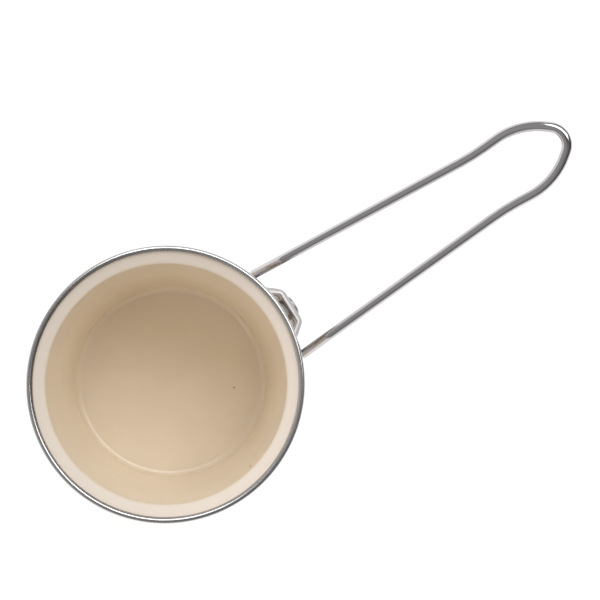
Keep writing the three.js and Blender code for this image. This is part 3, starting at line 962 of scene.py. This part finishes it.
class COFFEEPOT_OT_make_fasteners(BuildOperator, Operator):
    """Make the screw with its cross recess and thread, the split washer and the nut"""

    bl_idname = "coffee_pot.make_fasteners"
    bl_label = "Fasteners"

    def screw(self, fastener, layout):
        """Screw with a plain core for its thread, and a cross recess in its low round head."""
        radius, head = fastener.screw_diameter / 2, fastener.head_diameter / 2
        core = radius - fastener.thread_depth
        tip, top = layout.nut_back - fastener.screw_tip, layout.head_seat + fastener.head_thickness
        outline = [
            (tip, 0, 0),
            (tip, core, 0),
            (layout.nut_seat, core, 0),
            (layout.nut_seat, radius, 0),
            (layout.head_seat, radius, 0),
            (layout.head_seat, head, 0),
            (top, head, fastener.head_rounding),
            (top, 0, 0),
        ]
        shape = turned_bar(outline)
        size = (2 * fastener.drive_depth, fastener.drive_width, fastener.drive_length)
        for turn in (0, math.pi / 2):
            arm = bmesh.new()
            bmesh.ops.create_cube(arm, size=1, matrix=Matrix.Diagonal((*size, 1)))
            foot = [vertex for vertex in arm.verts if vertex.co.x < 0]
            bmesh.ops.scale(arm, verts=foot, vec=DRIVE_TAPER)
            moved_to(arm, Matrix.Translation((top, 0, 0)) @ Matrix.Rotation(turn, 4, "X"))
            shape = carved(shape, arm)
        return softened(shape, fastener.edge_rounding, 2)

    def thread(self, fastener, layout):
        """Ridge wound along the end of the screw."""
        crest = fastener.screw_diameter / 2
        root = crest - fastener.thread_depth
        half = fastener.thread_pitch / 2
        start = layout.nut_back - fastener.screw_tip + half
        ridge = closed_section([(start - half, root), (start, crest), (start + half, root)])
        turns = (fastener.nut_thickness + fastener.screw_tip) / fastener.thread_pitch - 1
        steps = round(THREAD_STEPS * turns)
        step_along = fastener.thread_pitch / THREAD_STEPS * OUT
        spun(ridge, everything(ridge), 2 * math.pi * turns, steps, OUT, shift=step_along)
        bmesh.ops.holes_fill(ridge, edges=ridge.edges, sides=3)
        return closed_up(ridge)

    def washer(self, fastener, layout):
        """Spring washer, open at its split."""
        inner, outer = fastener.screw_diameter / 2 + fastener.hole_gap, fastener.washer_diameter / 2
        near, far = layout.washer_seat, layout.washer_seat + fastener.washer_thickness
        ring = closed_section([(near, inner), (far, inner), (far, outer), (near, outer)])
        spun(ring, everything(ring), 2 * math.pi - fastener.washer_split, SMALL_ROUND_STEPS, OUT)
        bmesh.ops.holes_fill(ring, edges=ring.edges, sides=4)
        return softened(closed_up(ring), fastener.edge_rounding, 2)

    def nut(self, fastener, layout):
        """Hexagon nut with chamfered corners and a plain bore."""
        flat, corner = fastener.nut_flats / 2, fastener.nut_flats / 2 / math.cos(math.pi / 6)
        near, far = layout.nut_back, layout.nut_seat
        hexagon = rod(corner, near, far, 6)
        chamfer = (corner - flat) * math.tan(math.pi / 6)
        outline = [
            (near, 0, 0),
            (near, flat, 0),
            (near + chamfer, corner, 0),
            (far - chamfer, corner, 0),
            (far, flat, 0),
            (far, 0, 0),
        ]
        rounded = turned_bar(outline)
        bore = rod(fastener.screw_diameter / 2 + fastener.thread_gap, near - CUT_MARGIN, far + CUT_MARGIN)
        return carved(carved(hexagon, rounded, "INTERSECT"), bore)

    def execute(self, context):
        settings, layout = self.start(context)
        finish = settings.finish
        steel = metal_finish("fastener_steel", finish.fastener_steel, turned_grain, TURNED_GLOSS)
        zinc = metal_finish("nut_zinc", finish.zinc, beaded_grain, ZINC_GLOSS, ZINC_TONES, metallic=0.0)
        pieces = {
            "cross_head_screw": (self.screw, steel, ["handle_screw"]),
            "screw_thread": (self.thread, steel, []),
            "split_washer": (self.washer, steel, ["lock_washer"]),
            "chamfered_nut": (self.nut, zinc, ["handle_nut"]),
        }
        for name, (make, metal, nodes) in pieces.items():
            shape = moved_to(make(settings.fastener, layout), layout.seat)
            add_piece(name, shape, [metal], nodes, flat_faces=True)
        return {"FINISHED"}


# Stage

FLOOR_GAP = 0.02 * MM  # between the floor and the base
SEEN_FLOOR_GLOW = 0.78  # the floor's own light where the eye or the steel sees it
SEEN_FLOOR_TONE = (0.3, 0.3, 0.3, 1)  # its colour there, which takes the shadow

# Light of the studio: sine of the height above the horizon, and level. Then the dim side's share of it
HIGH_WALLS = ((0.2, 0.0), (0.4, 0.6), (0.76, 1.45), (0.9, 1.45), (0.97, 0.1), (1.0, 0.05))
HIGH_DIM_SHARE = 0.2
HIGH_MIRRORED_SHARE = 0.12  # left of the high walls where gloss mirrors them
LOW_WALLS = ((0.0, 0.9), (0.1, 0.8), (0.2, 0.33), (0.6, 0.33), (0.76, 0.25), (1.0, 0.2))
LOW_DIM_SHARE = 0.08


def in_picture(stage, turn):
    """Level direction that points at an angle in the picture, anticlockwise from its right side."""
    return Matrix.Rotation(turn - stage.handle_angle, 4, "Z") @ OUT


class COFFEEPOT_OT_make_stage(BuildOperator, Operator):
    """Make the camera, the floor, the lights and the studio round the pot"""

    bl_idname = "coffee_pot.make_stage"
    bl_label = "Stage"

    def camera(self, scene, stage):
        lens = bpy.data.cameras.new("picture_camera")
        lens.lens = stage.lens
        lens.clip_start = 1 * MM
        camera = bpy.data.objects.new("picture_camera", lens)
        forward = (Vector(stage.camera_aim) - Vector(stage.camera_place)).normalized()
        handle_way = (OUT - OUT.dot(forward) * forward).normalized()
        right = Matrix.Rotation(stage.handle_angle, 3, forward) @ handle_way
        axes = Matrix((right, right.cross(forward), -forward)).transposed().to_4x4()
        camera.matrix_world = Matrix.Translation(stage.camera_place) @ axes
        scene.collection.objects.link(camera)
        scene.camera = camera

    def floor(self, scene, stage):
        """Pale floor: plain to the light, and white to the eye and in the steel, with a soft shadow."""
        material = bpy.data.materials.new("studio_floor")
        material.use_nodes = True
        tree = material.node_tree
        tree.nodes.clear()
        rgb = (*stage.floor_colour, 1)
        plain = add_node(tree, "ShaderNodeBsdfDiffuse", {"Color": rgb}).outputs[0]
        faint = add_node(tree, "ShaderNodeBsdfDiffuse", {"Color": SEEN_FLOOR_TONE}).outputs[0]
        glow = add_node(tree, "ShaderNodeEmission", {"Strength": SEEN_FLOOR_GLOW}).outputs[0]
        white = add_node(tree, "ShaderNodeAddShader", {0: faint, 1: glow}).outputs[0]
        path = add_node(tree, "ShaderNodeLightPath").outputs
        seen = math_node(tree, "MAXIMUM", path["Is Camera Ray"], path["Is Glossy Ray"])
        seen = math_node(tree, "MAXIMUM", seen, path["Is Transmission Ray"])
        mix = add_node(tree, "ShaderNodeMixShader", {0: seen, 1: plain, 2: white}).outputs[0]
        add_node(tree, "ShaderNodeOutputMaterial", {"Surface": mix})
        bm = bmesh.new()
        bmesh.ops.create_grid(bm, x_segments=1, y_segments=1, size=stage.floor_size / 2)
        bmesh.ops.translate(bm, verts=bm.verts, vec=(cad_box[0].z - FLOOR_GAP) * UP)
        mesh = bpy.data.meshes.new("studio_floor")
        bm.to_mesh(mesh)
        bm.free()
        mesh.materials.append(material)
        floor = bpy.data.objects.new("studio_floor", mesh)
        scene.collection.objects.link(floor)

    def softbox(self, scene, settings):
        """One large softbox, which faces the middle of the pot's mouth."""
        stage = settings.stage
        lamp = bpy.data.lights.new("key_softbox", "AREA")
        lamp.shape = "RECTANGLE"
        lamp.size = stage.key_width
        lamp.size_y = stage.key_depth
        lamp.energy = stage.key_power
        lamp.color = stage.key_colour
        level = in_picture(stage, stage.key_angle)
        way = math.cos(stage.key_height) * level + math.sin(stage.key_height) * UP
        facing = way.to_track_quat("Z", "Y").to_matrix().to_4x4()
        box = bpy.data.objects.new(lamp.name, lamp)
        box.matrix_world = Matrix.Translation(settings.pot.height * UP + stage.key_distance * way) @ facing
        scene.collection.objects.link(box)

    def walls(self, tree, levels, dim_way, dim_share):
        """Light of the studio's walls between two heights, dimmer towards one side."""
        way = add_node(tree, "ShaderNodeTexCoord").outputs["Generated"]
        height = add_node(tree, "ShaderNodeSeparateXYZ", {0: way}).outputs["Z"]
        ramp = add_node(tree, "ShaderNodeValToRGB", {0: height})
        while len(ramp.color_ramp.elements) < len(levels):
            ramp.color_ramp.elements.new(0.5)
        for element, (position, level) in zip(ramp.color_ramp.elements, levels):
            element.position = position
            element.color = (level, level, level, 1)
        side = vector_node(tree, "DOT_PRODUCT", way, dim_way)
        return scaled(tree, ramp.outputs["Color"], ranged(tree, side, -1, 1, 1, dim_share))

    def studio(self, scene, stage):
        """Soft light from all round: pale walls high up, dimmer ones low down, and a dim ceiling."""
        world = bpy.data.worlds.new("studio")
        world.use_nodes = True
        tree = world.node_tree
        high = self.walls(tree, HIGH_WALLS, in_picture(stage, stage.high_dim_angle), HIGH_DIM_SHARE)
        mirrored = add_node(tree, "ShaderNodeLightPath").outputs["Is Glossy Ray"]
        high = scaled(tree, high, ranged(tree, mirrored, 0, 1, 1, HIGH_MIRRORED_SHARE))
        low = self.walls(tree, LOW_WALLS, in_picture(stage, stage.low_dim_angle), LOW_DIM_SHARE)
        light = vector_node(tree, "ADD", high, low)
        tree.links.new(light, tree.nodes["Background"].inputs["Color"])
        scene.world = world

    def execute(self, context):
        scene = context.scene
        settings = scene.coffee_pot
        scene.view_settings.view_transform = "Standard"
        self.camera(scene, settings.stage)
        self.floor(scene, settings.stage)
        self.softbox(scene, settings)
        self.studio(scene, settings.stage)
        return {"FINISHED"}


class COFFEEPOT_PT_build(Panel):
    """Lists the operators, and the sizes and colours that they use"""

    bl_idname = "COFFEEPOT_PT_build"
    bl_label = "Turkish coffee pot"
    bl_space_type = "VIEW_3D"
    bl_region_type = "UI"
    bl_category = "Coffee Pot"

    def draw(self, context):
        layout = self.layout
        for operator in OPERATORS:
            layout.operator(operator.bl_idname)
        settings = context.scene.coffee_pot
        for group_name in settings.bl_rna.properties.keys():
            group = getattr(settings, group_name)
            if not isinstance(group, PropertyGroup):
                continue
            box = layout.box()
            box.label(text=group_name.title())
            for name in type(group).__annotations__:
                box.prop(group, name)


GROUPS = (PotSizes, SeatSizes, HandleSizes, FastenerSizes, FinishColours, StageSettings, CoffeePotSettings)
OPERATORS = (
    COFFEEPOT_OT_make_stage,
    COFFEEPOT_OT_make_pot,
    COFFEEPOT_OT_make_rim,
    COFFEEPOT_OT_make_bracket,
    COFFEEPOT_OT_make_plate,
    COFFEEPOT_OT_make_wire,
    COFFEEPOT_OT_make_welds,
    COFFEEPOT_OT_make_fasteners,
)


def register():
    for part in (*GROUPS, *OPERATORS, COFFEEPOT_PT_build):
        bpy.utils.register_class(part)
    bpy.types.Scene.coffee_pot = PointerProperty(type=CoffeePotSettings)


def unregister():
    del bpy.types.Scene.coffee_pot
    for part in reversed((*GROUPS, *OPERATORS, COFFEEPOT_PT_build)):
        bpy.utils.unregister_class(part)


def main():
    register()
    bpy.ops.coffee_pot.make_stage()
    bpy.ops.coffee_pot.make_pot()
    bpy.ops.coffee_pot.make_rim()
    bpy.ops.coffee_pot.make_bracket()
    bpy.ops.coffee_pot.make_plate()
    bpy.ops.coffee_pot.make_wire()
    bpy.ops.coffee_pot.make_welds()
    bpy.ops.coffee_pot.make_fasteners()


if __name__ == "__main__":
    main()
